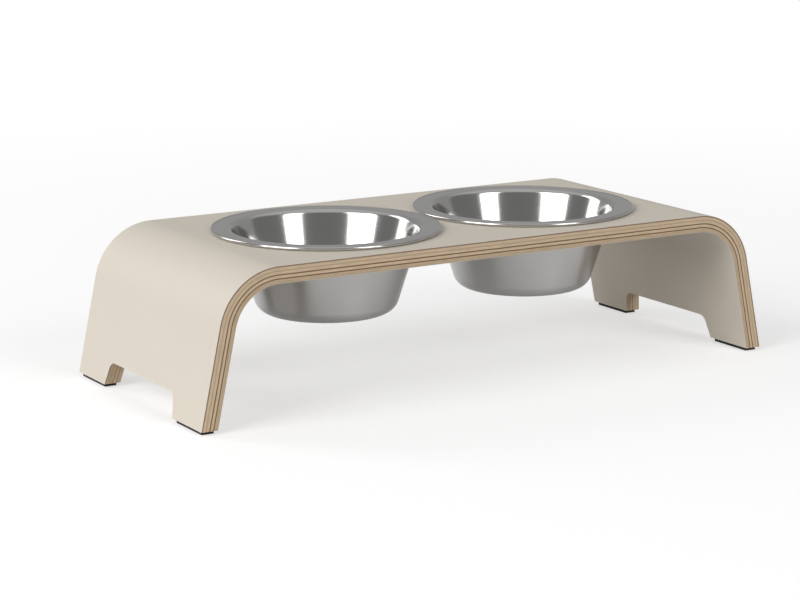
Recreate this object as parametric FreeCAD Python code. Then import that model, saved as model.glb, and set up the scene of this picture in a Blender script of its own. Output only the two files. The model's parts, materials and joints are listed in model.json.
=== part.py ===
"""Raised dog feeding station: a moulded plywood arch that carries two lift-out steel bowls.

Millimetres, +Z up. The origin is on the floor under the middle of the arch. +X runs along the
length of the arch and -Y is the front.
"""
import FreeCAD
import Part

import math
import os

# Bowl, drawn from one steel sheet
sheet_thickness = 0.7
mouth_radius = 72.75          # where the level flange starts to turn down into the wall
flange_width = 12.05          # from there to the outside of the rolled edge
curl_bore_radius = 0.6        # hollow inside the rolled edge
curl_opening_deg = 30.0       # left open towards the flange, below level
curl_rise = 0.45              # top of the rolled edge above the flange
curl_fillet_radius = 1.0      # on the flange, where it rises into the rolled edge
throat_radius = 3.7           # under the flange, where it turns down into the wall
wall_taper_deg = 17.4         # from upright
bowl_height = 63.75           # underside of the floor to the top of the rolled edge
floor_corner_radius = 11.8    # inside the bowl

# Seating of the bowls in the arch
seat_clearance = 0.25         # under the rolled edge
hole_clearance = 2.0          # between a bowl's wall and the edge of its hole
rim_gap = 4.0                 # between the two rims
rim_side_margin = 15.2        # from a rim to the front and back edges
rim_end_margin = 9.0          # from a rim to the start of the bend

# Moulded arch
laminate_thickness = 1.2
long_veneer_thickness = 1.8   # grain along the arch
cross_veneer_thickness = 1.0  # grain across the arch
veneer_count = 7
inner_bend_radius = 34.4
leg_splay_deg = 12.1          # from upright, legs spread towards the floor
shell_height = 108.8          # cut edge of the feet to the top face

# Feet, left and right of a notch in each leg
foot_length = 44.5
notch_height = 17.3
notch_lean_deg = 15.0         # sides of the notch, from upright
notch_corner_radius = 7.0
pad_thickness = 2.5
pad_end_inset = 3.0
pad_side_inset = 1.75
pad_corner_radius = 0.5

# How far a cutter runs past the faces that it cuts
cut_overrun = 5.0

# Angles in radians
splay = math.radians(leg_splay_deg)
taper = math.radians(wall_taper_deg)
lean = math.radians(notch_lean_deg)
curl_opening = math.radians(curl_opening_deg)
quarter_turn = math.pi / 2
full_turn_deg = 360

# Layers of the arch from the outside in, as name and thickness
veneers = [
    (f"veneer_{number}", long_veneer_thickness if number % 2 else cross_veneer_thickness)
    for number in range(1, veneer_count + 1)
]
layers = [("outer_laminate", laminate_thickness)] + veneers + [("inner_laminate", laminate_thickness)]
shell_thickness = sum(thickness for name, thickness in layers)

# Places that several pieces share
rim_radius = mouth_radius + flange_width
bowl_x = rim_radius + rim_gap / 2
shell_depth = 2 * (rim_radius + rim_side_margin)
foot_z = pad_thickness
top_z = foot_z + shell_height
outer_bend_radius = inner_bend_radius + shell_thickness
bend_x = bowl_x + rim_radius + rim_end_margin
bend_z = top_z - outer_bend_radius
curl_radius = curl_bore_radius + sheet_thickness
rim_z = top_z + seat_clearance + 2 * curl_radius
flange_z = rim_z - curl_rise
mouth_turn_radius = throat_radius + sheet_thickness
mouth_turn_z = flange_z - mouth_turn_radius
floor_z = rim_z - bowl_height + sheet_thickness

# Food side of the bowl's wall: its top end and the way it faces
wall_normal = (-math.cos(taper), math.sin(taper))
wall_top_r = mouth_radius + mouth_turn_radius * wall_normal[0]
wall_top_z = mouth_turn_z + mouth_turn_radius * wall_normal[1]

# Hole in the arch, a clearance outside the bowl's wall at the top face
wall_r_at_top = wall_top_r - (wall_top_z - top_z) * math.tan(taper) + sheet_thickness / math.cos(taper)
hole_radius = wall_r_at_top + hole_clearance


def flat(x, z):
    """A point in the plane of the arch's section and of the bowl's section."""
    return FreeCAD.Vector(x, 0, z)


def line(start, end):
    return Part.LineSegment(start, end).toShape()


def arc(start, middle, end):
    return Part.Arc(start, middle, end).toShape()


def arc_about(centre, radius, start_angle, end_angle):
    """An arc in the section plane, between two angles from the X axis."""
    angles = (start_angle, (start_angle + end_angle) / 2, end_angle)
    points = [centre + flat(radius * math.cos(angle), radius * math.sin(angle)) for angle in angles]
    return arc(*points)


def face_of(edges):
    return Part.Face(Part.Wire(Part.__sortEdges__(edges)))


def end_of(edge, last=True):
    return edge.valueAt(edge.LastParameter if last else edge.FirstParameter)


def leg_x(offset, z):
    """Distance from the middle to a leg's line, an offset in from its outside, at a height."""
    radius = outer_bend_radius - offset
    bend_start_z = bend_z + radius * math.sin(splay)
    return bend_x + radius * math.cos(splay) + (bend_start_z - z) * math.tan(splay)


def leg_points(offset, side):
    """Foot, start, middle and end of the bend of one leg's line, an offset in from its outside."""
    radius = outer_bend_radius - offset
    points = [flat(side * leg_x(offset, foot_z), foot_z)]
    for angle in (splay, (splay + quarter_turn) / 2, quarter_turn):
        points.append(flat(side * (bend_x + radius * math.cos(angle)), bend_z + radius * math.sin(angle)))
    return points


def arch_line(offset):
    """Edges from the left foot over the top to the right foot, an offset in from the outside."""
    left_foot, left_start, left_middle, left_end = leg_points(offset, -1)
    right_foot, right_start, right_middle, right_end = leg_points(offset, 1)
    return [
        line(left_foot, left_start),
        arc(left_start, left_middle, left_end),
        line(left_end, right_end),
        arc(right_end, right_middle, right_start),
        line(right_start, right_foot),
    ]


def notch_cutter():
    """A bar along the whole arch with the section of the notch between two feet."""
    half_foot = shell_depth / 2 - foot_length
    half_top = half_foot - notch_height * math.tan(lean)
    half_mouth = half_foot + cut_overrun * math.tan(lean)
    turn = quarter_turn - lean
    setback = notch_corner_radius * math.tan(turn / 2)
    notch_z = foot_z + notch_height
    corner_z = notch_z - notch_corner_radius
    corner_y = half_top - setback
    length = leg_x(0, foot_z) + cut_overrun

    def at(y, z):
        return FreeCAD.Vector(-length, y, z)

    def corner(side):
        points = []
        for angle in (lean, (lean + quarter_turn) / 2, quarter_turn):
            y = corner_y + notch_corner_radius * math.cos(angle)
            points.append(at(side * y, corner_z + notch_corner_radius * math.sin(angle)))
        return points

    mouth_z = foot_z - cut_overrun
    front, back = corner(-1), corner(1)
    edges = [
        line(at(-half_mouth, mouth_z), front[0]),
        arc(*front),
        line(front[2], back[2]),
        arc(*back),
        line(back[0], at(half_mouth, mouth_z)),
        line(at(half_mouth, mouth_z), at(-half_mouth, mouth_z)),
    ]
    return face_of(edges).extrude(FreeCAD.Vector(2 * length, 0, 0))


def hole_cutter(x):
    """A cylinder through the top of the arch for one bowl."""
    bottom = FreeCAD.Vector(x, 0, top_z - shell_thickness - cut_overrun)
    return Part.makeCylinder(hole_radius, shell_thickness + 2 * cut_overrun, bottom)


def arch_layer(offset, thickness, cutters):
    """One sheet of the arch, from an offset inwards, with its notches and holes."""
    outside = arch_line(offset)
    inside = arch_line(offset + thickness)
    feet = [
        line(end_of(outside[0], last=False), end_of(inside[0], last=False)),
        line(end_of(outside[-1]), end_of(inside[-1])),
    ]
    section = face_of(outside + feet + inside)
    section.translate(FreeCAD.Vector(0, -shell_depth / 2, 0))
    return section.extrude(FreeCAD.Vector(0, shell_depth, 0)).cut(cutters)


def foot_pad(side_x, side_y):
    """A flat pad with rounded corners, centred under one foot."""
    width = leg_x(0, foot_z) - leg_x(shell_thickness, foot_z) - 2 * pad_side_inset
    length = foot_length - 2 * pad_end_inset
    middle_x = (leg_x(0, foot_z) + leg_x(shell_thickness, foot_z)) / 2
    middle_y = (shell_depth - foot_length) / 2
    corner = FreeCAD.Vector(side_x * middle_x - width / 2, side_y * middle_y - length / 2, 0)
    pad = Part.makeBox(width, length, pad_thickness, corner)
    boxes = [(edge, edge.BoundBox) for edge in pad.Edges]
    upright = [edge for edge, box in boxes if box.ZLength > box.XLength + box.YLength]
    return pad.makeFillet(pad_corner_radius, upright)


def bowl_section():
    """Half of the bowl's sheet, cut through its axis."""
    underside_z = floor_z - sheet_thickness
    mouth = flat(mouth_radius, mouth_turn_z)
    curl = flat(rim_radius - curl_radius, rim_z - curl_radius)
    rise_radius = curl_radius + curl_fillet_radius
    rise_angle = math.acos(1 - curl_rise / rise_radius)
    fillet = flat(curl.x - rise_radius * math.sin(rise_angle), flange_z + curl_fillet_radius)
    corner_z = floor_z + floor_corner_radius
    wall_length = (wall_top_z + floor_corner_radius * wall_normal[1] - corner_z) / math.cos(taper)
    corner_r = wall_top_r - wall_length * math.sin(taper) + floor_corner_radius * wall_normal[0]
    corner = flat(corner_r, corner_z)

    def sheet_side(depth):
        """Corner, mouth, fillet and rolled edge of one side of the sheet, a depth below the food side."""
        return [
            arc_about(corner, floor_corner_radius + depth, -quarter_turn, -taper),
            arc_about(mouth, mouth_turn_radius - depth, math.pi - taper, quarter_turn),
            arc_about(fillet, curl_fillet_radius + depth, -quarter_turn, rise_angle - quarter_turn),
            arc_about(curl, curl_radius - depth, quarter_turn + rise_angle, curl_opening - math.pi),
        ]

    edges = []
    sides = [sheet_side(0), sheet_side(sheet_thickness)]
    for (floor_turn, mouth_turn, fillet_turn, rolled_edge), z in zip(sides, (floor_z, underside_z)):
        edges += [
            line(flat(0, z), end_of(floor_turn, last=False)),
            floor_turn,
            line(end_of(floor_turn), end_of(mouth_turn, last=False)),
            mouth_turn,
            line(end_of(mouth_turn), end_of(fillet_turn, last=False)),
            fillet_turn,
            rolled_edge,
        ]
    edges.append(line(end_of(sides[0][-1]), end_of(sides[1][-1])))
    edges.append(line(flat(0, floor_z), flat(0, underside_z)))
    return face_of(edges)


def bowl(x):
    """A drawn bowl about an upright axis, hung in its hole."""
    solid = bowl_section().revolve(FreeCAD.Vector(0, 0, 0), FreeCAD.Vector(0, 0, 1), full_turn_deg)
    solid.translate(FreeCAD.Vector(x, 0, 0))
    return solid


def build():
    """All pieces by name."""
    pieces = {}
    cutters = [notch_cutter(), hole_cutter(-bowl_x), hole_cutter(bowl_x)]
    offset = 0
    for name, thickness in layers:
        pieces[name] = arch_layer(offset, thickness, cutters)
        offset += thickness
    for side_x, end_name in ((-1, "left"), (1, "right")):
        pieces[f"bowl_{end_name}"] = bowl(side_x * bowl_x)
        for side_y, edge_name in ((-1, "front"), (1, "back")):
            pieces[f"foot_pad_{edge_name}_{end_name}"] = foot_pad(side_x, side_y)
    return pieces


os.makedirs("parts", exist_ok=True)
for name, shape in build().items():
    shape.exportStep(f"parts/{name}.step")
    print(name, shape.isValid(), len(shape.Solids), round(shape.Volume, 1))
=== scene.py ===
"""Dog feeding station: a moulded plywood arch on thin pads, with two steel bowls that lift out.

The visible pieces, their materials and the studio round them. Metres, +Z up. The origin is on the
floor under the middle of the arch, +X runs along the arch and -Y is the front.
"""

import json
import math

import bmesh
import bpy
import numpy as np
from bpy.props import FloatProperty, FloatVectorProperty, PointerProperty
from mathutils import Euler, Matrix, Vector


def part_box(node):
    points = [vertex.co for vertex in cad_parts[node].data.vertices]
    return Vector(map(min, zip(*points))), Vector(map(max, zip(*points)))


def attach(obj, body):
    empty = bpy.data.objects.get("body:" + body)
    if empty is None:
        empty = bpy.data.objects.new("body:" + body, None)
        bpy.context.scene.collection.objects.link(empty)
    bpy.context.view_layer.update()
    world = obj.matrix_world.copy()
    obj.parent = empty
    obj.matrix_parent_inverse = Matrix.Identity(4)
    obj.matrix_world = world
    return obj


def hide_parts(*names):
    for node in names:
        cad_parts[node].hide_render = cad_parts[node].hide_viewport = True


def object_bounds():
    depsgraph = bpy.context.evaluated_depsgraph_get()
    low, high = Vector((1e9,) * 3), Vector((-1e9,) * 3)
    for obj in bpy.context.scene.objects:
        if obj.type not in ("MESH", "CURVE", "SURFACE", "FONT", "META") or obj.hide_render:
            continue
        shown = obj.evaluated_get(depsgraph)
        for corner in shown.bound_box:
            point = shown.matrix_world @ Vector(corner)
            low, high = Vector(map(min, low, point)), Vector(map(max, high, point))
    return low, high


bl_info = {
    "name": "Dog Feeding Station",
    "version": (1, 0, 0),
    "blender": (4, 5, 0),
    "location": "View3D > Sidebar > Feeding Station",
    "description": "A plywood feeding station with two lift-out steel bowls",
    "category": "Object",
}

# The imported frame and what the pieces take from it
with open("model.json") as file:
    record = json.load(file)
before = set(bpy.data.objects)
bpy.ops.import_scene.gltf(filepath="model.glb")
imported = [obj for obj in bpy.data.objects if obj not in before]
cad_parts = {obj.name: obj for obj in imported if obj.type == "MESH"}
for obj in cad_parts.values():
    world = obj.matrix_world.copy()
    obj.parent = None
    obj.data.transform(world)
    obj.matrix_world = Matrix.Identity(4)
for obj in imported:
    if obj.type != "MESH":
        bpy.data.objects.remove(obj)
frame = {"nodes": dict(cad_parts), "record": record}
cad_low, cad_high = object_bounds()
veneer_names = [f"veneer_{number}" for number in range(1, 8)]
layer_names = ["outer_laminate", *veneer_names, "inner_laminate"]
bowl_names = ["bowl_left", "bowl_right"]
pad_names = sorted(name for name in frame["nodes"] if name.startswith("foot_pad"))
arch_low, arch_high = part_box("outer_laminate")
layer_offsets = [arch_high.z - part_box(name)[1].z for name in layer_names]
laminate_thickness = layer_offsets[1]
board_thickness = layer_offsets[-1] + laminate_thickness
bowl_low, bowl_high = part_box("bowl_right")
bowl_x = (bowl_low.x + bowl_high.x) / 2
rim_radius = (bowl_high.x - bowl_low.x) / 2

# How finely round shapes are divided
bend_segments = 28
notch_segments = 8
hole_segments = 160
arris_segments = 2
bowl_segments = 224
floor_corner_segments = 14
mouth_segments = 12
rim_fillet_segments = 4
rolled_edge_segments = 24
pad_corner_segments = 6
pad_edge_segments = 3

# How far a cutter runs past what it cuts, how near two points are one, and from where an edge is sharp
overrun = 0.005
weld_distance = 1e-6
sharp_angle = 1.0
quarter_turn = math.pi / 2


# Settings


def srgb(red, green, blue):
    """A colour as it looks on a screen, from 0 to 255, in the linear values that nodes take."""
    shares = [value / 255 for value in (red, green, blue)]
    return tuple(s / 12.92 if s <= 0.04045 else ((s + 0.055) / 1.055) ** 2.4 for s in shares)


def length(name, description, default):
    return FloatProperty(
        name=name,
        description=description,
        default=default,
        min=0,
        precision=4,
        subtype="DISTANCE",
        unit="LENGTH",
    )


def angle(name, description, degrees):
    return FloatProperty(
        name=name, description=description, default=math.radians(degrees), subtype="ANGLE", unit="ROTATION"
    )


def colour(name, description, default):
    return FloatVectorProperty(
        name=name, description=description, default=default, size=3, min=0, max=1, subtype="COLOR"
    )


def share(name, description, default):
    return FloatProperty(
        name=name, description=description, default=default, min=0, max=1, subtype="FACTOR"
    )


def power(name, description, default):
    return FloatProperty(
        name=name, description=description, default=default, min=0, subtype="POWER", unit="POWER"
    )


class ArchSettings(bpy.types.PropertyGroup):
    inner_bend_radius: length("Inner bend radius", "Inside radius of the two bends", 0.0344)
    leg_splay: angle("Leg splay", "Lean of the legs from upright", 12.1)
    hole_radius: length("Hole radius", "Radius of the holes that the bowls hang in", 0.0715)
    foot_length: length("Foot length", "Front to back length of one foot", 0.0445)
    notch_height: length("Notch height", "Height of the notch between two feet", 0.0173)
    notch_lean: angle("Notch lean", "Lean of the sides of the notch from upright", 15)
    notch_corner_radius: length("Notch corner radius", "Radius of the notch's upper corners", 0.007)
    arris: length("Arris", "Width of the eased edge of the laminates", 0.00015)
    laminate_colour: colour("Laminate", "Matte cream face of the laminates", srgb(224, 215, 201))
    core_colour: colour("Laminate core", "Brown paper core at the laminates' edges", srgb(156, 130, 104))
    veneer_colour: colour("Veneer", "Pale sanded edge of the veneers", srgb(221, 197, 166))
    end_grain_colour: colour("End grain", "Dark line of a veneer cut across its grain", srgb(127, 97, 69))
    glue_colour: colour("Glue line", "Thin line between two veneers", srgb(150, 120, 90))


class BowlSettings(bpy.types.PropertyGroup):
    sheet_thickness: length("Sheet thickness", "Thickness of the steel sheet", 0.0007)
    mouth_radius: length("Mouth radius", "Where the level flange starts to turn down", 0.07275)
    mouth_turn_radius: length("Mouth turn radius", "Rounding from the flange into the wall", 0.0044)
    rolled_edge_radius: length("Rolled edge radius", "Outside radius of the rolled edge", 0.0013)
    rolled_edge_rise: length("Rolled edge rise", "Top of the rolled edge above the flange", 0.00045)
    rolled_edge_fillet: length("Rolled edge fillet", "Rounding from the flange to the rolled edge", 0.001)
    rolled_edge_opening: angle("Rolled edge opening", "How far below level the rolled edge ends", 30)
    wall_taper: angle("Wall taper", "Lean of the wall from upright", 17.4)
    floor_corner_radius: length("Floor corner radius", "Rounding from the wall into the floor", 0.0118)
    polished_colour: colour("Polished steel", "Tint of the food side and the rim", srgb(204, 203, 201))
    satin_colour: colour("Satin steel", "Tint of the outside", srgb(188, 187, 185))
    polished_roughness: share("Polished roughness", "Roughness of the food side and the rim", 0.13)
    satin_roughness: share("Satin roughness", "Roughness of the outside", 0.33)


class PadSettings(bpy.types.PropertyGroup):
    corner_radius: length("Corner radius", "Radius of the pad's upright corners", 0.0005)
    edge_radius: length("Edge radius", "Rounding of the pad's lower and upper edges", 0.0001)
    pad_colour: colour("Pad", "Matte black of the pads", srgb(30, 30, 30))


class StageSettings(bpy.types.PropertyGroup):
    camera_position: FloatVectorProperty(
        name="Camera position",
        description="Where the camera stands",
        default=(-0.96629, -1.54514, 0.44724),
        subtype="TRANSLATION",
        unit="LENGTH",
    )
    camera_azimuth: angle("Camera azimuth", "Turn of the view round the object", -31.3884)
    camera_elevation: angle("Camera elevation", "Height of the view above the horizon", 12.3478)
    camera_lens: FloatProperty(
        name="Lens", description="Focal length in millimetres", default=111.134, min=1, unit="CAMERA"
    )
    lamp_distance: length("Lamp distance", "From the middle of the object to the lamps", 6.0)
    key_power: power("Key lamp", "Large softbox at the left", 206)
    strip_power: power("Strip lamp", "Narrow softbox behind on the left", 72)
    fill_power: power("Fill lamp", "Softbox in front on the right", 101)
    ambient: share("Ambient", "Light from all round", 0.27)
    floor_colour: colour("Floor", "Pale floor", srgb(216, 216, 216))
    floor_glow: share("Floor glow", "How far the floor near the object is lifted to white", 0.5)
    tent_front: share("Tent front", "Grey of the tent on the camera's side", 0.21)
    tent_back: share("Tent back", "Grey of the tent behind the object", 0.36)
    tent_top: share("Tent top", "Grey of the tent overhead", 0.6)


# Nodes


def add_node(tree, kind, inputs=None, **settings):
    """A node with its settings. Each input takes a value or the output of another node."""
    node = tree.nodes.new(kind)
    for name, value in settings.items():
        setattr(node, name, value)
    for name, value in (inputs or {}).items():
        if isinstance(value, bpy.types.NodeSocket):
            tree.links.new(value, node.inputs[name])
        else:
            node.inputs[name].default_value = value
    return node


def maths(tree, operation, *values):
    """The output of a Math node on values or outputs of other nodes."""
    return add_node(tree, "ShaderNodeMath", dict(enumerate(values)), operation=operation).outputs[0]


def blend(tree, factor, first, second):
    """The colour between two colours."""
    node = tree.nodes.new("ShaderNodeMix")
    node.data_type = "RGBA"
    sockets = {socket.identifier: socket for socket in node.inputs}
    for key, value in (("Factor_Float", factor), ("A_Color", first), ("B_Color", second)):
        if isinstance(value, bpy.types.NodeSocket):
            tree.links.new(value, sockets[key])
        else:
            sockets[key].default_value = value if key == "Factor_Float" else (*value, 1)
    return next(socket for socket in node.outputs if socket.identifier == "Result_Color")


def between(tree, value, low, high):
    """A smooth step from 0 at the low value to 1 at the high one."""
    inputs = {"Value": value, "From Min": low, "From Max": high}
    step = add_node(tree, "ShaderNodeMapRange", inputs, interpolation_type="SMOOTHSTEP")
    return step.outputs["Result"]


def new_group(name, kind, inputs, outputs):
    """An empty node group with named sockets, and the nodes that hold its inputs and outputs."""
    group = bpy.data.node_groups.new(name, kind)
    for socket_name, socket_type in inputs.items():
        group.interface.new_socket(socket_name, in_out="INPUT", socket_type=socket_type)
    for socket_name, socket_type in outputs.items():
        group.interface.new_socket(socket_name, in_out="OUTPUT", socket_type=socket_type)
    return group, group.nodes.new("NodeGroupInput").outputs, group.nodes.new("NodeGroupOutput").inputs


def noise(tree, place, scale, detail=2):
    """A soft noise value from 0 to 1."""
    inputs = {"Vector": place, "Scale": scale, "Detail": detail}
    return add_node(tree, "ShaderNodeTexNoise", inputs).outputs["Fac"]


def stretched(tree, place, amount):
    """A place with each axis scaled by itself, so that a pattern runs longer one way."""
    node = add_node(tree, "ShaderNodeVectorMath", {0: place, 1: amount}, operation="MULTIPLY")
    return node.outputs["Vector"]


# Effects that several materials share


def surface_wander_group():
    """Slight changes of shade over a surface, broad and fine, and a fine height."""
    group, given, made = new_group(
        "Surface wander",
        "ShaderNodeTree",
        {
            "Place": "NodeSocketVector",
            "Broad Scale": "NodeSocketFloat",
            "Fine Scale": "NodeSocketFloat",
            "Strength": "NodeSocketFloat",
        },
        {"Shade": "NodeSocketFloat", "Height": "NodeSocketFloat"},
    )
    broad = noise(group, given["Place"], given["Broad Scale"])
    fine = noise(group, given["Place"], given["Fine Scale"], 3)
    both = maths(group, "SUBTRACT", maths(group, "ADD", broad, fine), 1)
    group.links.new(maths(group, "MULTIPLY_ADD", both, given["Strength"], 1), made["Shade"])
    group.links.new(fine, made["Height"])
    return group


def wood_fibre_group():
    """Streaks and pores of a veneer, drawn out along its grain."""
    group, given, made = new_group(
        "Wood fibre",
        "ShaderNodeTree",
        {"Place": "NodeSocketVector", "Grain": "NodeSocketVector"},
        {"Streak": "NodeSocketFloat", "Pore": "NodeSocketFloat"},
    )
    pore_scale = 2.7
    pore_rim, pore_middle = 0.6, 0.72
    along = stretched(group, given["Place"], given["Grain"])
    streak = noise(group, along, 1, 3)
    pores = noise(group, along, pore_scale, 1)
    group.links.new(streak, made["Streak"])
    group.links.new(between(group, pores, pore_rim, pore_middle), made["Pore"])
    return group


def glue_line_group():
    """A mask for the uneven glue line along both faces of a veneer."""
    group, given, made = new_group(
        "Glue line",
        "ShaderNodeTree",
        {
            "Place": "NodeSocketVector",
            "Through": "NodeSocketFloat",
            "Width": "NodeSocketFloat",
            "Wander": "NodeSocketFloat",
        },
        {"Line": "NodeSocketFloat"},
    )
    wave_scale = 260
    uneven = maths(group, "SUBTRACT", noise(group, given["Place"], wave_scale), 0.5)
    moved = maths(group, "MULTIPLY_ADD", uneven, given["Wander"], given["Through"])
    middle = maths(group, "ABSOLUTE", maths(group, "SUBTRACT", moved, 0.5))
    edge = maths(group, "SUBTRACT", 0.5, given["Width"])
    group.links.new(between(group, middle, edge, 0.5), made["Line"])
    return group


def arch_place_group():
    """The way along the arch, the way across it and the depth under its outside, for a place on it."""
    group, given, made = new_group(
        "Arch place",
        "ShaderNodeTree",
        {
            "Place": "NodeSocketVector",
            "Bend Start": "NodeSocketFloat",
            "Bend Height": "NodeSocketFloat",
            "Bend Radius": "NodeSocketFloat",
            "Leg Splay": "NodeSocketFloat",
        },
        {"Place": "NodeSocketVector", "Depth": "NodeSocketFloat"},
    )
    place = add_node(group, "ShaderNodeSeparateXYZ", {"Vector": given["Place"]}).outputs
    x = maths(group, "SUBTRACT", maths(group, "ABSOLUTE", place["X"]), given["Bend Start"])
    z = maths(group, "SUBTRACT", place["Z"], given["Bend Height"])
    steep = maths(group, "MAXIMUM", maths(group, "ARCTAN2", z, x), given["Leg Splay"])
    turn = maths(group, "MINIMUM", steep, quarter_turn)
    cosine = maths(group, "COSINE", turn)
    sine = maths(group, "SINE", turn)
    reach = maths(group, "MULTIPLY_ADD", x, cosine, maths(group, "MULTIPLY", z, sine))
    depth = maths(group, "SUBTRACT", given["Bend Radius"], reach)
    bent = maths(group, "MULTIPLY", maths(group, "SUBTRACT", quarter_turn, turn), given["Bend Radius"])
    fallen = maths(group, "MULTIPLY", z, cosine)
    straight = maths(group, "SUBTRACT", maths(group, "MULTIPLY", x, sine), fallen)
    length_out = maths(group, "ADD", given["Bend Start"], maths(group, "ADD", bent, straight))
    along = maths(group, "MULTIPLY", maths(group, "SIGN", place["X"]), length_out)
    result = add_node(group, "ShaderNodeCombineXYZ", {"X": along, "Y": place["Y"], "Z": depth})
    group.links.new(result.outputs["Vector"], made["Place"])
    group.links.new(depth, made["Depth"])
    return group


def turning_marks_group():
    """Fine rings round a turned sheet, as a height and as a slight change of shade."""
    group, given, made = new_group(
        "Turning marks",
        "ShaderNodeTree",
        {"Turn": "NodeSocketVector", "Rings": "NodeSocketFloat", "Spread": "NodeSocketFloat"},
        {"Height": "NodeSocketFloat", "Shade": "NodeSocketFloat"},
    )
    around = 1.5
    scale = add_node(group, "ShaderNodeCombineXYZ", {"X": around, "Y": around, "Z": given["Rings"]})
    rings = noise(group, stretched(group, given["Turn"], scale.outputs["Vector"]), 1, 3)
    centred = maths(group, "SUBTRACT", rings, 0.5)
    group.links.new(rings, made["Height"])
    group.links.new(maths(group, "MULTIPLY_ADD", centred, given["Spread"], 1), made["Shade"])
    return group


def shared_group(name, builder):
    """The node group of that name, built the first time that it is asked for."""
    return bpy.data.node_groups.get(name) or builder()


def use_group(tree, name, builder, inputs):
    """The outputs of a shared group with these values for its inputs."""
    return add_node(tree, "ShaderNodeGroup", inputs, node_tree=shared_group(name, builder)).outputs


# Materials


def new_material(name):
    """A material with one Principled shader, and its tree."""
    material = bpy.data.materials.new(name)
    material.use_nodes = True
    return material, material.node_tree, material.node_tree.nodes["Principled BSDF"]


def read_attribute(tree, name, output):
    return add_node(tree, "ShaderNodeAttribute", attribute_name=name).outputs[output]


def object_place(tree):
    return tree.nodes.new("ShaderNodeTexCoord").outputs["Object"]


def shaded(tree, tint, shade):
    """A colour times a shade that changes over the surface."""
    node = add_node(tree, "ShaderNodeVectorMath", {0: tint, "Scale": shade}, operation="SCALE")
    return node.outputs["Vector"]


def vary_roughness(tree, shader, value, base, spread):
    """Roughness that changes over the surface with a value from 0 to 1."""
    tree.links.new(maths(tree, "MULTIPLY_ADD", value, spread, base), shader.inputs["Roughness"])


def add_bump(tree, shader, height, distance):
    bump = add_node(tree, "ShaderNodeBump", {"Height": height, "Distance": distance, "Strength": 1.0})
    tree.links.new(bump.outputs["Normal"], shader.inputs["Normal"])


def layer_place(tree, form):
    """The place on the arch, the way through the layer from 0 to 1, and how dark the layer's line is.

    The line is fainter on the milled faces of the notches and holes than on the sanded long edges.
    """
    edge_band = 0.0005
    milled_fade = 0.5
    bend = {
        "Place": object_place(tree),
        "Bend Start": form.bend_x,
        "Bend Height": form.bend_z,
        "Bend Radius": form.radius,
        "Leg Splay": form.splay,
    }
    arch = use_group(tree, "Arch place", arch_place_group, bend)
    layer = read_attribute(tree, "layer", "Vector")
    offset, thickness, dark = add_node(tree, "ShaderNodeSeparateXYZ", {"Vector": layer}).outputs
    through = maths(tree, "DIVIDE", maths(tree, "SUBTRACT", arch["Depth"], offset), thickness)
    width = add_node(tree, "ShaderNodeSeparateXYZ", {"Vector": arch["Place"]}).outputs["Y"]
    from_edge = maths(tree, "SUBTRACT", form.depth / 2, maths(tree, "ABSOLUTE", width))
    milled = between(tree, from_edge, edge_band, 2 * edge_band)
    line = maths(tree, "MULTIPLY", dark, maths(tree, "MULTIPLY_ADD", milled, -milled_fade, 1))
    return arch["Place"], through, line


def laminate_material(settings, form):
    """Matte cream laminate with a brown core at its cut edges."""
    material, tree, shader = new_material("laminate")
    wander = use_group(
        tree,
        "Surface wander",
        surface_wander_group,
        {"Place": object_place(tree), "Broad Scale": 22.0, "Fine Scale": 2600.0, "Strength": 0.035},
    )
    wave_scale, wave_share = 420, 0.12
    face_end, core_start = 0.04, 0.2
    place, through, dark = layer_place(tree, form)
    uneven = maths(tree, "SUBTRACT", noise(tree, place, wave_scale), 0.5)
    under_face = maths(tree, "MULTIPLY_ADD", uneven, wave_share, through)
    core = between(tree, under_face, face_end, core_start)
    paper = blend(tree, dark, settings.veneer_colour, settings.core_colour)
    face = blend(tree, core, settings.laminate_colour, paper)
    tree.links.new(shaded(tree, face, wander["Shade"]), shader.inputs["Base Color"])
    vary_roughness(tree, shader, wander["Height"], base=0.46, spread=0.12)
    shader.inputs["Specular IOR Level"].default_value = 0.4
    add_bump(tree, shader, wander["Height"], 0.00003)
    return material


def veneer_material(name, grain, settings, form):
    """Sanded edge of a veneer whose fibres run the way that the grain is stretched."""
    material, tree, shader = new_material(name)
    place, through, dark = layer_place(tree, form)
    fibre = use_group(tree, "Wood fibre", wood_fibre_group, {"Place": place, "Grain": grain})
    glue = use_group(
        tree,
        "Glue line",
        glue_line_group,
        {"Place": place, "Through": through, "Width": 0.08, "Wander": 0.12},
    )
    line_wander, line_rim, line_middle = 0.4, 0.55, 0.3
    pore_share, streak_share, glue_share = 0.3, 0.8, 0.25
    streak = maths(tree, "SUBTRACT", fibre["Streak"], 0.5)
    uneven = maths(tree, "MULTIPLY_ADD", streak, line_wander, through)
    from_middle = maths(tree, "ABSOLUTE", maths(tree, "SUBTRACT", uneven, 0.5))
    line = maths(tree, "MULTIPLY", between(tree, from_middle, line_rim, line_middle), dark)
    pored = maths(tree, "MAXIMUM", line, maths(tree, "MULTIPLY", fibre["Pore"], pore_share))
    wood = blend(tree, pored, settings.veneer_colour, settings.end_grain_colour)
    streaked = shaded(tree, wood, maths(tree, "MULTIPLY_ADD", streak, streak_share, 1))
    glued = maths(tree, "MULTIPLY", glue["Line"], glue_share)
    edge = blend(tree, glued, streaked, settings.glue_colour)
    tree.links.new(edge, shader.inputs["Base Color"])
    vary_roughness(tree, shader, fibre["Streak"], base=0.58, spread=0.15)
    shader.inputs["Specular IOR Level"].default_value = 0.3
    add_bump(tree, shader, fibre["Streak"], 0.00006)
    return material


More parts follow.
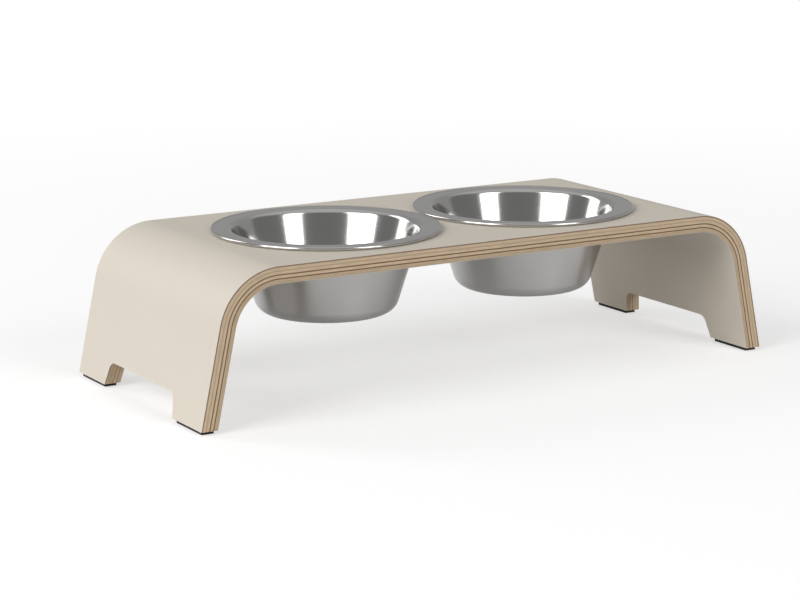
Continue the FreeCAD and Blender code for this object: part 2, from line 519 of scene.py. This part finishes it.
def steel_material(name, tint, roughness, rings, spread, depth, stretch):
    """Stainless steel with fine rings from polishing or turning, which stretch what it mirrors."""
    material, tree, shader = new_material(name)
    turn = read_attribute(tree, "turn", "Vector")
    marks = use_group(
        tree, "Turning marks", turning_marks_group, {"Turn": turn, "Rings": rings, "Spread": spread}
    )
    tree.links.new(shaded(tree, tint, marks["Shade"]), shader.inputs["Base Color"])
    tree.links.new(maths(tree, "MULTIPLY", marks["Shade"], roughness), shader.inputs["Roughness"])
    shader.inputs["Metallic"].default_value = 1.0
    shader.inputs["Anisotropic"].default_value = stretch
    shader.inputs["Anisotropic Rotation"].default_value = 0.25
    tangent = add_node(tree, "ShaderNodeTangent", direction_type="UV_MAP", uv_map="turned")
    tree.links.new(tangent.outputs["Tangent"], shader.inputs["Tangent"])
    add_bump(tree, shader, marks["Height"], depth)
    return material


def pad_material(settings):
    """Matte black rubber with a fine grain."""
    material, tree, shader = new_material("pad")
    wander = use_group(
        tree,
        "Surface wander",
        surface_wander_group,
        {"Place": object_place(tree), "Broad Scale": 120.0, "Fine Scale": 3200.0, "Strength": 0.3},
    )
    tree.links.new(shaded(tree, settings.pad_colour, wander["Shade"]), shader.inputs["Base Color"])
    vary_roughness(tree, shader, wander["Height"], base=0.68, spread=0.2)
    add_bump(tree, shader, wander["Height"], 0.00008)
    return material


# Arch


class ArchForm:
    """The outside face of the arch as it is bent."""

    def __init__(self, settings):
        self.splay = settings.leg_splay
        self.top = arch_high.z
        self.foot = arch_low.z
        self.depth = arch_high.y - arch_low.y
        self.radius = settings.inner_bend_radius + board_thickness
        self.bend_z = self.top - self.radius
        bend_foot_z = self.bend_z + self.radius * math.sin(self.splay)
        leg_run = (bend_foot_z - self.foot) * math.tan(self.splay)
        self.bend_x = arch_high.x - self.radius * math.cos(self.splay) - leg_run

    def unbend(self, points):
        """The depth of points under the outside of the arch, and the way out from there."""
        x = np.abs(points[:, 0]) - self.bend_x
        z = points[:, 2] - self.bend_z
        turn = np.clip(np.arctan2(z, x), self.splay, quarter_turn)
        depth = self.radius - x * np.cos(turn) - z * np.sin(turn)
        side = np.sign(points[:, 0])
        outward = np.stack((side * np.cos(turn), np.zeros(len(points)), np.sin(turn)), axis=1)
        return depth, outward


def rounded_bar_group():
    """Nodes for a bar along Z. Its section leans in from a base to a top with two rounded corners."""
    tree, given, made = new_group(
        "Rounded bar",
        "GeometryNodeTree",
        {
            "Base Half Width": "NodeSocketFloat",
            "Top Half Width": "NodeSocketFloat",
            "Base Height": "NodeSocketFloat",
            "Top Height": "NodeSocketFloat",
            "Corner Radius": "NodeSocketFloat",
            "Corner Segments": "NodeSocketInt",
            "Half Length": "NodeSocketFloat",
        },
        {"Bar": "NodeSocketGeometry"},
    )

    def point(side, width, height):
        across = maths(tree, "MULTIPLY", given[width], side)
        return add_node(tree, "ShaderNodeCombineXYZ", {"X": across, "Y": given[height]}).outputs["Vector"]

    corners = {
        "Point 1": point(1, "Base Half Width", "Base Height"),
        "Point 2": point(1, "Top Half Width", "Top Height"),
        "Point 3": point(-1, "Top Half Width", "Top Height"),
        "Point 4": point(-1, "Base Half Width", "Base Height"),
    }
    section = add_node(tree, "GeometryNodeCurvePrimitiveQuadrilateral", corners, mode="POINTS")
    index = add_node(tree, "GeometryNodeInputIndex").outputs["Index"]
    from_middle = maths(tree, "ABSOLUTE", maths(tree, "SUBTRACT", index, 1.5))
    upper = maths(tree, "LESS_THAN", from_middle, 1)
    rounding = {
        "Curve": section.outputs["Curve"],
        "Count": given["Corner Segments"],
        "Radius": maths(tree, "MULTIPLY", upper, given["Corner Radius"]),
    }
    rounded = add_node(tree, "GeometryNodeFilletCurve", rounding, mode="POLY")
    back = maths(tree, "MULTIPLY", given["Half Length"], -1)
    start = add_node(tree, "ShaderNodeCombineXYZ", {"Z": back})
    end = add_node(tree, "ShaderNodeCombineXYZ", {"Z": given["Half Length"]})
    path = add_node(
        tree,
        "GeometryNodeCurvePrimitiveLine",
        {"Start": start.outputs["Vector"], "End": end.outputs["Vector"]},
    )
    bar = add_node(
        tree,
        "GeometryNodeCurveToMesh",
        {"Curve": path.outputs["Curve"], "Profile Curve": rounded.outputs["Curve"], "Fill Caps": True},
    )
    tree.links.new(bar.outputs["Mesh"], made["Bar"])
    return tree


def arch_layer_tree():
    """Nodes for one layer: a bar bent as the arch, less what lies inside the layer, notches and holes."""
    tree, given, made = new_group(
        "Arch layer",
        "GeometryNodeTree",
        {
            "Offset": "NodeSocketFloat",
            "Thickness": "NodeSocketFloat",
            "Top Height": "NodeSocketFloat",
            "Foot Height": "NodeSocketFloat",
            "Half Depth": "NodeSocketFloat",
            "Bend Radius": "NodeSocketFloat",
            "Bend Start": "NodeSocketFloat",
            "Leg Splay": "NodeSocketFloat",
            "Notch Half Width": "NodeSocketFloat",
            "Notch Height": "NodeSocketFloat",
            "Notch Lean": "NodeSocketFloat",
            "Notch Corner Radius": "NodeSocketFloat",
            "Hole Radius": "NodeSocketFloat",
            "Hole Place": "NodeSocketFloat",
            "Material": "NodeSocketMaterial",
        },
        {"Layer": "NodeSocketGeometry"},
    )
    slope = maths(tree, "TANGENT", given["Leg Splay"])
    secant = maths(tree, "DIVIDE", 1, maths(tree, "COSINE", given["Leg Splay"]))
    corner_run = maths(tree, "SUBTRACT", secant, slope)

    def bar(inputs, turn):
        group = shared_group("Rounded bar", rounded_bar_group)
        shape = add_node(tree, "GeometryNodeGroup", inputs, node_tree=group).outputs["Bar"]
        turned = add_node(tree, "GeometryNodeTransform", {"Geometry": shape, "Rotation": turn})
        return turned.outputs["Geometry"]

    def arch_block(offset, foot, half_depth):
        """All that lies inside the arch's line, an offset in from its outside."""
        radius = maths(tree, "SUBTRACT", given["Bend Radius"], offset)
        top = maths(tree, "SUBTRACT", given["Top Height"], offset)
        top_half = maths(tree, "MULTIPLY_ADD", radius, corner_run, given["Bend Start"])
        base_half = maths(tree, "MULTIPLY_ADD", maths(tree, "SUBTRACT", top, foot), slope, top_half)
        sizes = {
            "Base Half Width": base_half,
            "Top Half Width": top_half,
            "Base Height": foot,
            "Top Height": top,
            "Corner Radius": radius,
            "Corner Segments": bend_segments,
            "Half Length": half_depth,
        }
        return bar(sizes, Euler((quarter_turn, 0, 0)))

    def notch():
        """A bar along X that cuts the notch in both legs."""
        lean = maths(tree, "TANGENT", given["Notch Lean"])
        side_run = maths(tree, "MULTIPLY", given["Notch Height"], lean)
        top_half = maths(tree, "SUBTRACT", given["Notch Half Width"], side_run)
        sizes = {
            "Base Half Width": maths(tree, "MULTIPLY_ADD", lean, overrun, given["Notch Half Width"]),
            "Top Half Width": top_half,
            "Base Height": maths(tree, "SUBTRACT", given["Foot Height"], overrun),
            "Top Height": maths(tree, "ADD", given["Foot Height"], given["Notch Height"]),
            "Corner Radius": given["Notch Corner Radius"],
            "Corner Segments": notch_segments,
            "Half Length": cad_high.x + overrun,
        }
        return bar(sizes, Euler((quarter_turn, 0, quarter_turn)))

    def hole(side):
        sizes = {
            "Vertices": hole_segments,
            "Radius": given["Hole Radius"],
            "Depth": 2 * (board_thickness + overrun),
        }
        cylinder = add_node(tree, "GeometryNodeMeshCylinder", sizes).outputs["Mesh"]
        x = maths(tree, "MULTIPLY", given["Hole Place"], side)
        middle = add_node(tree, "ShaderNodeCombineXYZ", {"X": x, "Z": given["Top Height"]})
        place = {"Geometry": cylinder, "Translation": middle.outputs["Vector"]}
        return add_node(tree, "GeometryNodeTransform", place).outputs["Geometry"]

    inner_offset = maths(tree, "ADD", given["Offset"], given["Thickness"])
    low_foot = maths(tree, "SUBTRACT", given["Foot Height"], overrun)
    deep = maths(tree, "ADD", given["Half Depth"], overrun)
    block = {"Mesh 1": arch_block(given["Offset"], given["Foot Height"], given["Half Depth"])}
    cut = add_node(tree, "GeometryNodeMeshBoolean", block, operation="DIFFERENCE", solver="EXACT")
    for cutter in (arch_block(inner_offset, low_foot, deep), notch(), hole(-1), hole(1)):
        tree.links.new(cutter, cut.inputs["Mesh 2"])
    real = add_node(tree, "GeometryNodeRealizeInstances", {"Geometry": cut.outputs["Mesh"]})
    finish = add_node(
        tree,
        "GeometryNodeSetMaterial",
        {"Geometry": real.outputs["Geometry"], "Material": given["Material"]},
    )
    tree.links.new(finish.outputs["Geometry"], made["Layer"])
    return tree


def mesh_from_tree(name, tree, values):
    """The plain mesh that a tree makes with these values for its named inputs."""
    carrier = bpy.data.objects.new(name, bpy.data.meshes.new(name))
    bpy.context.scene.collection.objects.link(carrier)
    modifier = carrier.modifiers.new("Nodes", "NODES")
    modifier.node_group = tree
    for item in tree.interface.items_tree:
        if item.item_type == "SOCKET" and item.in_out == "INPUT":
            modifier[item.identifier] = values[item.name]
    carrier.update_tag()
    graph = bpy.context.evaluated_depsgraph_get()
    mesh = bpy.data.meshes.new_from_object(carrier.evaluated_get(graph))
    bpy.data.objects.remove(carrier)
    return mesh


def sharp_edges(shape):
    return [edge for edge in shape.edges if edge.calc_face_angle(0) > sharp_angle]


def round_edges(shape, edges, width, segments):
    bmesh.ops.bevel(shape, geom=edges, offset=width, segments=segments, profile=0.5, affect="EDGES")


def ease_arris(mesh, form, depth, width):
    """Rounds the cut edges of the face that lies at a depth under the outside of the arch."""
    shape = bmesh.new()
    shape.from_mesh(mesh)
    bmesh.ops.remove_doubles(shape, verts=shape.verts, dist=weld_distance)
    shape.verts.index_update()
    depths = form.unbend(np.array([vertex.co for vertex in shape.verts]))[0]
    on_face = np.abs(depths - depth) < 2 * weld_distance
    edges = [
        edge
        for edge in sharp_edges(shape)
        if all(on_face[vertex.index] for vertex in edge.verts)
    ]
    round_edges(shape, edges, width, arris_segments)
    shape.to_mesh(mesh)
    shape.free()


def store(mesh, name, vectors):
    """Keeps a vector for each point of a mesh, for its material."""
    attribute = mesh.attributes.new(name, "FLOAT_VECTOR", "POINT")
    attribute.data.foreach_set("vector", np.array(vectors, dtype=np.float32).ravel())


def shade_layer(mesh, form):
    """Normals that follow the bends, and that stay square on the cut edges."""
    along_face = 0.97
    mesh.shade_smooth()
    points = np.array([vertex.co for vertex in mesh.vertices])
    outward = form.unbend(points)[1]
    normals = np.empty((len(mesh.loops), 3))
    for polygon in mesh.polygons:
        face_normal = np.array(polygon.normal)
        for loop, vertex in zip(polygon.loop_indices, polygon.vertices):
            facing = float(face_normal @ outward[vertex])
            bent = math.copysign(1, facing) * outward[vertex]
            normals[loop] = bent if abs(facing) > along_face else face_normal
    mesh.normals_split_custom_set(normals.tolist())


def add_piece(name, mesh, body, slot, *nodes):
    """Shows a mesh as a piece that rides on a body and stands for its CAD nodes."""
    for node in nodes:
        frame["nodes"][node].name = f"cad_{node}"
    piece = bpy.data.objects.new(name, mesh)
    bpy.context.scene.collection.objects.link(piece)
    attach(piece, body)
    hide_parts(*nodes)
    return piece


def build_arch(settings):
    """The nine layers of the board, from the outside in."""
    # Streaks to a metre along the arch, across it and through it, and how dark each layer's line is
    along = (90.0, 1500.0, 1500.0)
    across = (1500.0, 30.0, 1500.0)
    dark_lines = {
        "outer_laminate": 1.0,
        "veneer_2": 0.32,
        "veneer_4": 1.0,
        "veneer_6": 1.0,
        "veneer_7": 0.25,
        "inner_laminate": 0.4,
    }
    form = ArchForm(settings)
    tree = arch_layer_tree()
    materials = {
        "laminate": laminate_material(settings, form),
        "veneer_long": veneer_material("veneer_long", along, settings, form),
        "veneer_cross": veneer_material("veneer_cross", across, settings, form),
    }
    slots = {row["node"]: row["material_slot"] for row in frame["record"]["subparts"]}
    ends = layer_offsets[1:] + [board_thickness]
    for name, offset, end in zip(layer_names, layer_offsets, ends):
        slot = slots[name]
        thickness = end - offset
        sizes = {
            "Offset": offset,
            "Thickness": thickness,
            "Top Height": form.top,
            "Foot Height": form.foot,
            "Half Depth": form.depth / 2,
            "Bend Radius": form.radius,
            "Bend Start": form.bend_x,
            "Leg Splay": form.splay,
            "Notch Half Width": form.depth / 2 - settings.foot_length,
            "Notch Height": settings.notch_height,
            "Notch Lean": settings.notch_lean,
            "Notch Corner Radius": settings.notch_corner_radius,
            "Hole Radius": settings.hole_radius,
            "Hole Place": bowl_x,
            "Material": materials[slot],
        }
        mesh = mesh_from_tree(name, tree, sizes)
        if slot == "laminate":
            ease_arris(mesh, form, 0 if name == "outer_laminate" else board_thickness, settings.arris)
        dark = dark_lines.get(name, 0.0)
        layer = (end, -thickness, dark) if name == "inner_laminate" else (offset, thickness, dark)
        store(mesh, "layer", np.tile(layer, (len(mesh.vertices), 1)))
        shade_layer(mesh, form)
        add_piece(name, mesh, "stand", slot, name)


# Bowls


def arc_points(centre, radius, start, end, count):
    """Points on an arc in the section of the bowl, from one angle to another."""
    angles = np.linspace(start, end, count + 1)
    return [(centre[0] + radius * math.cos(a), centre[1] + radius * math.sin(a)) for a in angles]


def bowl_sheet_side(settings, depth):
    """One side of the sheet as radius and height, a depth under the food side, from the axis out."""
    taper = settings.wall_taper
    turn = settings.mouth_turn_radius
    corner_radius = settings.floor_corner_radius
    rolled = settings.rolled_edge_radius
    fillet_radius = settings.rolled_edge_fillet
    floor_z = bowl_low.z + settings.sheet_thickness
    flange_z = bowl_high.z - settings.rolled_edge_rise
    mouth = (settings.mouth_radius, flange_z - turn)
    rim = (rim_radius - rolled, bowl_high.z - rolled)
    climb = math.acos(1 - settings.rolled_edge_rise / (rolled + fillet_radius))
    fillet = (rim[0] - (rolled + fillet_radius) * math.sin(climb), flange_z + fillet_radius)
    wall_r = mouth[0] - turn * math.cos(taper)
    wall_z = mouth[1] + turn * math.sin(taper)
    corner_z = floor_z + corner_radius
    fall = wall_z + corner_radius * math.sin(taper) - corner_z
    corner = (wall_r - fall * math.tan(taper) - corner_radius * math.cos(taper), corner_z)
    top, last = quarter_turn + climb, settings.rolled_edge_opening - math.pi
    down = -quarter_turn
    return [
        (0, floor_z - depth),
        *arc_points(corner, corner_radius + depth, down, -taper, floor_corner_segments),
        *arc_points(mouth, turn - depth, math.pi - taper, quarter_turn, mouth_segments),
        *arc_points(fillet, fillet_radius + depth, down, climb - quarter_turn, rim_fillet_segments),
        *arc_points(rim, rolled - depth, top, last, rolled_edge_segments)[1:],
    ]


def turned_mesh(name, section, middle_x, split, materials):
    """A section turned about an upright axis. Its faces change material after a number of points."""
    points = np.array(section)
    runs = np.concatenate(([0], np.cumsum(np.linalg.norm(np.diff(points, axis=0), axis=1))))
    ring = points[1:-1]
    angles = np.linspace(0, 2 * math.pi, bowl_segments, endpoint=False)
    vertices = [(middle_x, 0, section[0][1]), (middle_x, 0, section[-1][1])]
    turns = [(0, 0, runs[0]), (0, 0, runs[-1])]
    for a in angles:
        for (radius, height), run in zip(ring, runs[1:-1]):
            vertices.append((middle_x + radius * math.cos(a), radius * math.sin(a), height))
            turns.append((math.cos(a), math.sin(a), run))
    faces = []
    finishes = []
    flat = []
    shares = runs / runs[-1]
    for step in range(bowl_segments):
        here = 2 + step * len(ring)
        there = 2 + (step + 1) % bowl_segments * len(ring)
        left, right = step / bowl_segments, (step + 1) / bowl_segments
        faces += [(0, here, there), (1, there + len(ring) - 1, here + len(ring) - 1)]
        flat += [(left, shares[0]), (left, shares[1]), (right, shares[1])]
        flat += [(left, shares[-1]), (right, shares[-2]), (left, shares[-2])]
        finishes += [0, 1]
        for row in range(len(ring) - 1):
            faces.append((here + row, here + row + 1, there + row + 1, there + row))
            low, high = shares[row + 1], shares[row + 2]
            flat += [(left, low), (left, high), (right, high), (right, low)]
            finishes.append(0 if row < split else 1)
    mesh = bpy.data.meshes.new(name)
    mesh.from_pydata(vertices, [], faces)
    mesh.uv_layers.new(name="turned").data.foreach_set("uv", np.array(flat).ravel())
    for material in materials:
        mesh.materials.append(material)
    mesh.polygons.foreach_set("material_index", finishes)
    store(mesh, "turn", turns)
    mesh.shade_smooth()
    mesh.update()
    return mesh


def build_bowls(settings):
    """Two drawn bowls, polished inside and on the rim, satin outside."""
    food_side = bowl_sheet_side(settings, 0)
    section = food_side + bowl_sheet_side(settings, settings.sheet_thickness)[::-1]
    materials = [
        steel_material(
            "steel_polished",
            settings.polished_colour,
            settings.polished_roughness,
            rings=1800.0,
            spread=0.1,
            depth=0.000002,
            stretch=0.0,
        ),
        steel_material(
            "steel_satin",
            settings.satin_colour,
            settings.satin_roughness,
            rings=5200.0,
            spread=0.16,
            depth=0.000004,
            stretch=0.8,
        ),
    ]
    for name in bowl_names:
        low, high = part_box(name)
        mesh = turned_mesh(name, section, (low.x + high.x) / 2, len(food_side) - 1, materials)
        piece = add_piece(name, mesh, name, "steel", name)
        piece.modifiers.new("Even wall", "WEIGHTED_NORMAL").keep_sharp = True


# Pads


def build_pads(settings):
    """Four thin pads with rounded corners and edges."""
    material = pad_material(settings)
    for name in pad_names:
        low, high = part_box(name)
        shape = bmesh.new()
        bmesh.ops.create_cube(shape, size=1)
        for vertex in shape.verts:
            vertex.co = [low[i] if vertex.co[i] < 0 else high[i] for i in range(3)]
        ends = [(edge, *edge.verts) for edge in shape.edges]
        upright = [edge for edge, one, other in ends if abs(one.co.z - other.co.z) > weld_distance]
        round_edges(shape, upright, settings.corner_radius, pad_corner_segments)
        round_edges(shape, sharp_edges(shape), settings.edge_radius, pad_edge_segments)
        mesh = bpy.data.meshes.new(name)
        shape.to_mesh(mesh)
        shape.free()
        mesh.materials.append(material)
        mesh.shade_smooth()
        piece = add_piece(name, mesh, "stand", "pad", name)
        piece.modifiers.new("Even faces", "WEIGHTED_NORMAL").keep_sharp = True


# Stage


def seen_rays(tree, mirrored=1.0):
    """1 for what the camera sees, a share for mirrors and glass, and 0 for light on the object."""
    rays = tree.nodes.new("ShaderNodeLightPath").outputs
    bounced = maths(tree, "MAXIMUM", rays["Is Glossy Ray"], rays["Is Transmission Ray"])
    return maths(tree, "MAXIMUM", rays["Is Camera Ray"], maths(tree, "MULTIPLY", bounced, mirrored))


def build_world(settings):
    """White where it is seen, and a plain grey light on the object."""
    world = bpy.data.worlds.new("studio")
    bpy.context.scene.world = world
    world.use_nodes = True
    tree = world.node_tree
    background = tree.nodes["Background"]
    background.inputs["Color"].default_value = (1, 1, 1, 1)
    strength = maths(tree, "MULTIPLY_ADD", seen_rays(tree), 1 - settings.ambient, settings.ambient)
    tree.links.new(strength, background.inputs["Strength"])


def build_floor(settings):
    """A pale floor that keeps the shadow and fades into white away from the object.

    What the steel sees of its glow is held back under the object, where little light gets in.
    """
    size = 10.0
    drop = -0.0002
    fade_start, fade_end = 0.4, 1.4
    shelter_reach = 0.3
    corners = [(-size, -size, drop), (size, -size, drop), (size, size, drop), (-size, size, drop)]
    mesh = bpy.data.meshes.new("floor")
    mesh.from_pydata(corners, [], [(0, 1, 2, 3)])
    material, tree, shader = new_material("floor")
    away = add_node(tree, "ShaderNodeVectorMath", {0: object_place(tree)}, operation="LENGTH")
    fade = between(tree, away.outputs["Value"], fade_start, fade_end)
    tree.links.new(blend(tree, fade, settings.floor_colour, (0, 0, 0)), shader.inputs["Base Color"])
    shader.inputs["Roughness"].default_value = 0.9
    shader.inputs["Specular IOR Level"].default_value = 0.0
    shader.inputs["Emission Color"].default_value = (1, 1, 1, 1)
    glow = maths(tree, "MULTIPLY_ADD", fade, 1 - settings.floor_glow, settings.floor_glow)
    open_sky = add_node(tree, "ShaderNodeAmbientOcclusion", {"Distance": shelter_reach}).outputs["AO"]
    seen_glow = maths(tree, "MULTIPLY", seen_rays(tree, open_sky), glow)
    tree.links.new(seen_glow, shader.inputs["Emission Strength"])
    mesh.materials.append(material)
    floor = bpy.data.objects.new("floor", mesh)
    bpy.context.scene.collection.objects.link(floor)


def heading(settings, turn_degrees, elevation_degrees):
    """A direction from the object, turned from the camera's towards its left, at a height."""
    azimuth = settings.camera_azimuth - math.radians(turn_degrees)
    elevation = math.radians(elevation_degrees)
    level = math.cos(elevation)
    return Vector((math.sin(azimuth) * level, -math.cos(azimuth) * level, math.sin(elevation)))


def add_lamp(settings, name, turn, elevation, size, watts):
    """A softbox that faces the object."""
    lamp = bpy.data.lights.new(name, "AREA")
    lamp.shape = "RECTANGLE"
    lamp.size, lamp.size_y = size
    lamp.energy = watts
    holder = bpy.data.objects.new(name, lamp)
    direction = heading(settings, turn, elevation)
    holder.location = direction * settings.lamp_distance
    holder.rotation_mode = "QUATERNION"
    holder.rotation_quaternion = direction.to_track_quat("Z", "Y")
    holder.visible_camera = False
    bpy.context.scene.collection.objects.link(holder)


def build_tent(settings):
    """A tent that only the steel sees, darker on the camera's side and lighter overhead."""
    radius = 9.0
    border_back, border_front = -3.3, -2.3
    top_start, top_end = 4.4, 8.0
    material, tree, shader = new_material("studio_tent")
    places = {0: object_place(tree), 1: heading(settings, 0, 0)}
    nearer = add_node(tree, "ShaderNodeVectorMath", places, operation="DOT_PRODUCT")
    front = between(tree, nearer.outputs["Value"], border_back, border_front)
    height = add_node(tree, "ShaderNodeSeparateXYZ", {"Vector": object_place(tree)}).outputs["Z"]
    overhead = between(tree, height, top_start, top_end)
    sides = blend(tree, front, [settings.tent_back] * 3, [settings.tent_front] * 3)
    tree.links.new(blend(tree, overhead, sides, [settings.tent_top] * 3), shader.inputs["Emission Color"])
    shader.inputs["Base Color"].default_value = (0, 0, 0, 1)
    shader.inputs["Specular IOR Level"].default_value = 0.0
    shader.inputs["Emission Strength"].default_value = 1.0
    shape = bmesh.new()
    bmesh.ops.create_uvsphere(shape, u_segments=48, v_segments=24, radius=radius)
    lower = [vertex for vertex in shape.verts if vertex.co.z < -0.01]
    bmesh.ops.delete(shape, geom=lower, context="VERTS")
    mesh = bpy.data.meshes.new("studio_tent")
    shape.to_mesh(mesh)
    shape.free()
    mesh.materials.append(material)
    tent = bpy.data.objects.new("studio_tent", mesh)
    tent.visible_camera = False
    tent.visible_diffuse = False
    tent.visible_shadow = False
    bpy.context.scene.collection.objects.link(tent)


def build_camera(settings):
    """The camera at the photograph's angle."""
    data = bpy.data.cameras.new("camera")
    data.sensor_fit = "HORIZONTAL"
    data.sensor_width = 36
    data.lens = settings.camera_lens
    data.clip_start = 0.05
    data.clip_end = 50
    camera = bpy.data.objects.new("camera", data)
    camera.location = settings.camera_position
    camera.rotation_mode = "QUATERNION"
    back = heading(settings, 0, math.degrees(settings.camera_elevation))
    camera.rotation_quaternion = (-back).to_track_quat("-Z", "Y")
    bpy.context.scene.collection.objects.link(camera)
    bpy.context.scene.camera = camera


def build_stage(settings):
    """Floor, light and camera."""
    # Turn from the camera towards its left and elevation in degrees, width and height, and power
    lamps = {
        "key_lamp": (48, 26, (3.7, 3.7), settings.key_power),
        "strip_lamp": (114, 26, (2.0, 3.7), settings.strip_power),
        "fill_lamp": (-46, 26, (2.35, 3.4), settings.fill_power),
    }
    bpy.context.scene.view_settings.view_transform = "Standard"
    build_world(settings)
    build_floor(settings)
    for name, lamp in lamps.items():
        add_lamp(settings, name, *lamp)
    build_tent(settings)
    build_camera(settings)


# Add-on


class FEEDING_STATION_OT_arch(bpy.types.Operator):
    """Build the laminated arch"""

    bl_idname = "feeding_station.arch"
    bl_label = "Arch"

    def execute(self, context):
        build_arch(context.scene.feeding_station_arch)
        return {"FINISHED"}


class FEEDING_STATION_OT_bowls(bpy.types.Operator):
    """Build the two steel bowls"""

    bl_idname = "feeding_station.bowls"
    bl_label = "Bowls"

    def execute(self, context):
        build_bowls(context.scene.feeding_station_bowl)
        return {"FINISHED"}


class FEEDING_STATION_OT_pads(bpy.types.Operator):
    """Build the four foot pads"""

    bl_idname = "feeding_station.pads"
    bl_label = "Pads"

    def execute(self, context):
        build_pads(context.scene.feeding_station_pad)
        return {"FINISHED"}


class FEEDING_STATION_OT_stage(bpy.types.Operator):
    """Build the floor, the light and the camera"""

    bl_idname = "feeding_station.stage"
    bl_label = "Stage"

    def execute(self, context):
        build_stage(context.scene.feeding_station_stage)
        return {"FINISHED"}


class FEEDING_STATION_PT_panel(bpy.types.Panel):
    """The pieces of the feeding station and their settings"""

    bl_label = "Feeding Station"
    bl_idname = "FEEDING_STATION_PT_panel"
    bl_space_type = "VIEW_3D"
    bl_region_type = "UI"
    bl_category = "Feeding Station"

    def draw(self, context):
        for name in ("arch", "bowl", "pad", "stage"):
            settings = getattr(context.scene, f"feeding_station_{name}")
            box = self.layout.box()
            for key in settings.__annotations__:
                box.prop(settings, key)
        for operator in ("arch", "bowls", "pads", "stage"):
            self.layout.operator(f"feeding_station.{operator}")


setting_groups = {
    "feeding_station_arch": ArchSettings,
    "feeding_station_bowl": BowlSettings,
    "feeding_station_pad": PadSettings,
    "feeding_station_stage": StageSettings,
}
classes = [
    *setting_groups.values(),
    FEEDING_STATION_OT_arch,
    FEEDING_STATION_OT_bowls,
    FEEDING_STATION_OT_pads,
    FEEDING_STATION_OT_stage,
    FEEDING_STATION_PT_panel,
]


def register():
    for cls in classes:
        bpy.utils.register_class(cls)
    for name, group in setting_groups.items():
        setattr(bpy.types.Scene, name, PointerProperty(type=group))


def unregister():
    for name in setting_groups:
        delattr(bpy.types.Scene, name)
    for cls in reversed(classes):
        bpy.utils.unregister_class(cls)


def main():
    register()
    bpy.ops.feeding_station.arch()
    bpy.ops.feeding_station.bowls()
    bpy.ops.feeding_station.pads()
    bpy.ops.feeding_station.stage()


if __name__ == "__main__":
    main()
